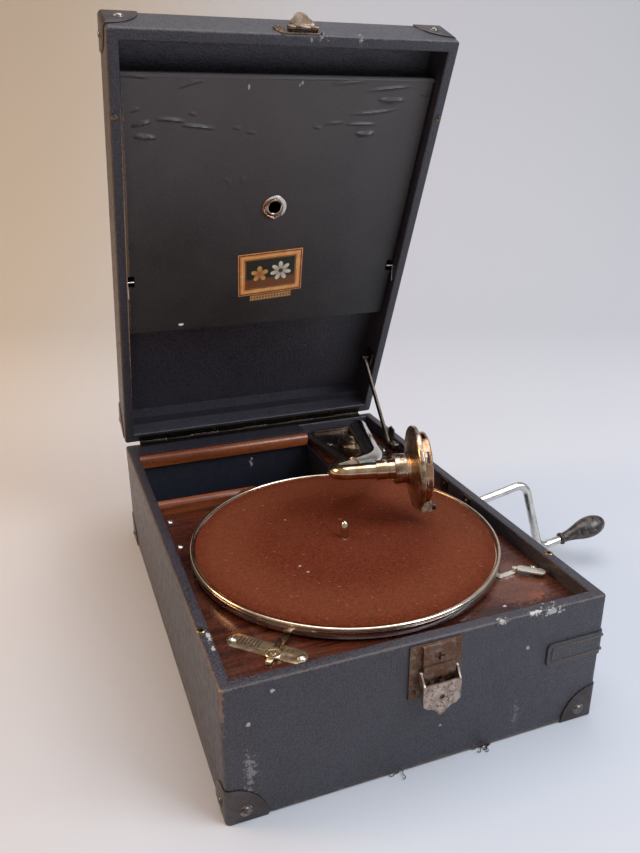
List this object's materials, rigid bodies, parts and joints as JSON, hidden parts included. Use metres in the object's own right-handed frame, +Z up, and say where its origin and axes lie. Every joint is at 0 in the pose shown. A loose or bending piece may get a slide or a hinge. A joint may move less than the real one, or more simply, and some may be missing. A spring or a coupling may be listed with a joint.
{
  "type": "portable gramophone",
  "caption": "Portable wind-up gramophone: open case with turntable, tone arm and soundbox, record tray in the lid, and a side crank.",
  "frame": {"origin": "centre of the case's bottom face", "axes": "+X towards the crank side, +Y towards the lid hinge, +Z up"},
  "size_m": [0.4527, 0.4586, 0.5046],
  "materials": {
    "leathercloth": "wooden box covered in charcoal grained leathercloth, worn",
    "leather_dark": "black leather, worn",
    "mahogany": "polished red-brown mahogany",
    "moulding": "polished orange-brown beading",
    "dark_paint": "dark blue-black paint, dusty",
    "tray_cloth": "black leathercloth on thin board",
    "nickel": "nickel plate with warm tarnish",
    "steel": "plain steel, dull",
    "rusty_plate": "nickel-plated steel gone to rust",
    "dark_sheet": "black sheet metal, worn",
    "copper": "copper-brown lacquered brass",
    "brass": "dull brass",
    "felt": "red-brown felt",
    "foil": "thin aluminium diaphragm",
    "grip": "dark marbled lacquered wood"
  },
  "bodies": {
    "base": {"case_shell": "leathercloth", "motor_board": "mahogany", "mouth_mouldings": "moulding", "horn_duct": "dark_paint", "horn_throat": "steel", "arm_plate": "rusty_plate", "arm_bearing": "nickel", "carry_band": "leather_dark", "handle_loops": "steel", "base_corners": "dark_sheet", "base_studs": "steel", "base_hinge_leaf": "steel", "hinge_pins": "steel", "latch_plate": "rusty_plate", "rim_sockets": "brass", "stay_rail": "rusty_plate", "crank_clips": "rusty_plate", "crank_bush": "nickel", "speed_scale": "brass", "board_screws": "steel", "motor_top_plate": "steel", "motor_bottom_plate": "steel", "motor_pillars": "nickel"},
    "lid": {"lid_shell": "leathercloth", "lid_corners": "dark_sheet", "lid_studs": "steel", "lid_hinge_leaf": "steel", "hasp_plate": "rusty_plate", "lid_dowels": "brass", "stay_bracket": "rusty_plate"},
    "stay": {"stay_bar": "rusty_plate"},
    "hasp": {"hasp_tongue": "rusty_plate"},
    "latch": {"latch_lever": "nickel"},
    "record_tray": {"tray_board": "tray_cloth", "tray_eyelet": "nickel"},
    "left_clip": {"clip_left": "brass"},
    "right_clip": {"clip_right": "brass"},
    "turntable": {"platter": "steel", "felt_mat": "felt", "spindle": "nickel"},
    "barrel": {"spring_barrel": "steel", "mainspring": "steel"},
    "arbor": {"winding_arbor": "steel"},
    "intermediate": {"intermediate_gear": "brass"},
    "governor": {"governor_shaft": "steel", "governor_weights": "brass"},
    "governor_brake_arm": {"governor_brake": "steel"},
    "crank": {"crank_rod": "nickel", "winding_pinion": "brass"},
    "grip": {"crank_grip": "grip"},
    "regulator": {"speed_lever": "brass"},
    "brake": {"brake_lever": "nickel"},
    "arm": {"tone_arm": "nickel"},
    "swan_neck": {"gooseneck": "nickel", "soundbox_case": "nickel", "soundbox_ring": "copper", "diaphragm": "foil", "needle_bar": "steel"},
    "thumb_screw": {"needle_screw": "steel"},
    "handle": {"carry_handle": "leather_dark"}
  },
  "joints": [
    {"name": "lid_hinge", "type": "hinge", "parent": "base", "child": "lid", "pos_m": [0, 0.2076, 0.1075], "axis": [1, 0, 0], "range_deg": [0, 47]},
    {"name": "stay_pivot", "type": "hinge", "parent": "lid", "child": "stay", "pos_m": [0.125, 0.18836, 0.18127], "axis": [1, 0, 0], "range_deg": [-70.5, 0]},
    {"name": "hasp_pivot", "type": "hinge", "parent": "lid", "child": "hasp", "pos_m": [0.0058, 0.04584, 0.49298], "axis": [1, 0, 0], "range_deg": [0, 138]},
    {"name": "latch_pivot", "type": "hinge", "parent": "base", "child": "latch", "pos_m": [0.0049, -0.2103, 0.083], "axis": [-1, 0, 0], "range_deg": [0, 75]},
    {"name": "tray_pivot", "type": "hinge", "parent": "lid", "child": "record_tray", "pos_m": [0, 0.06768, 0.45898], "axis": [1, 0, 0], "range_deg": [-15, 0]},
    {"name": "left_clip_pivot", "type": "hinge", "parent": "lid", "child": "left_clip", "pos_m": [-0.1335, 0.14039, 0.27631], "axis": [1, 0, 0], "range_deg": [0, 35]},
    {"name": "right_clip_pivot", "type": "hinge", "parent": "lid", "child": "right_clip", "pos_m": [0.1335, 0.14039, 0.27631], "axis": [1, 0, 0], "range_deg": [0, 35]},
    {"name": "turntable_spin", "type": "hinge", "parent": "base", "child": "turntable", "pos_m": [0, -0.058, 0.1], "axis": [0, 0, 1], "continuous": true},
    {"name": "barrel_spin", "type": "hinge", "parent": "base", "child": "barrel", "pos_m": [0.03, -0.006, 0.03], "axis": [0, 0, 1], "continuous": true},
    {"name": "arbor_spin", "type": "hinge", "parent": "base", "child": "arbor", "pos_m": [0.03, -0.006, 0.045], "axis": [0, 0, 1], "continuous": true},
    {"name": "intermediate_spin", "type": "hinge", "parent": "base", "child": "intermediate", "pos_m": [-0.00554, -0.03055, 0.05], "axis": [0, 0, 1], "continuous": true},
    {"name": "governor_spin", "type": "hinge", "parent": "base", "child": "governor", "pos_m": [-0.02284, -0.06865, 0.05], "axis": [0, 0, 1], "continuous": true},
    {"name": "governor_brake_swing", "type": "hinge", "parent": "base", "child": "governor_brake_arm", "pos_m": [-0.092, -0.04, 0.05], "axis": [0, 0, 1], "range_deg": [-0.9, 0.9]},
    {"name": "crank_spin", "type": "hinge", "parent": "base", "child": "crank", "pos_m": [0.143, -0.006, 0.08], "axis": [0.9796, 0, 0.2011], "continuous": true},
    {"name": "grip_spin", "type": "hinge", "parent": "crank", "child": "grip", "pos_m": [0.25424, -0.0185, 0.03045], "axis": [0.9796, 0, 0.2011], "continuous": true},
    {"name": "speed_swing", "type": "hinge", "parent": "base", "child": "regulator", "pos_m": [-0.0974, -0.1702, 0.0948], "axis": [0, 0, 1], "range_deg": [-12, 12]},
    {"name": "brake_swing", "type": "hinge", "parent": "base", "child": "brake", "pos_m": [0.086, -0.124, 0.0945], "axis": [0, 0, 1], "range_deg": [-6, 0]},
    {"name": "arm_swing", "type": "hinge", "parent": "base", "child": "arm", "pos_m": [0.1005, 0.15, 0.0954], "axis": [0, 0, 1], "range_deg": [-25, 12]},
    {"name": "neck_lift", "type": "hinge", "parent": "arm", "child": "swan_neck", "pos_m": [0.03168, -0.00194, 0.14146], "axis": [0.8235, 0.5348, -0.1891], "range_deg": [-95, 0]},
    {"name": "needle_screw_turn", "type": "hinge", "parent": "swan_neck", "child": "thumb_screw", "pos_m": [0.07441, -0.06115, 0.12074], "axis": [0.9627, -0.2682, 0.0348], "continuous": true},
    {"name": "handle_swing", "type": "hinge", "parent": "base", "child": "handle", "pos_m": [0.1512, 0, 0.066], "axis": [0, -1, 0], "range_deg": [0, 90]}
  ],
  "couplings": [
    {"joint": "stay_pivot", "follows": "lid_hinge", "ratio": -1.49},
    {"joint": "barrel_spin", "follows": "turntable_spin", "ratio": 0.05},
    {"joint": "intermediate_spin", "follows": "turntable_spin", "ratio": -0.25},
    {"joint": "governor_spin", "follows": "turntable_spin", "ratio": -6},
    {"joint": "arbor_spin", "follows": "crank_spin", "ratio": 0.5},
    {"joint": "governor_brake_swing", "follows": "speed_swing", "ratio": -0.0745}
  ]
}
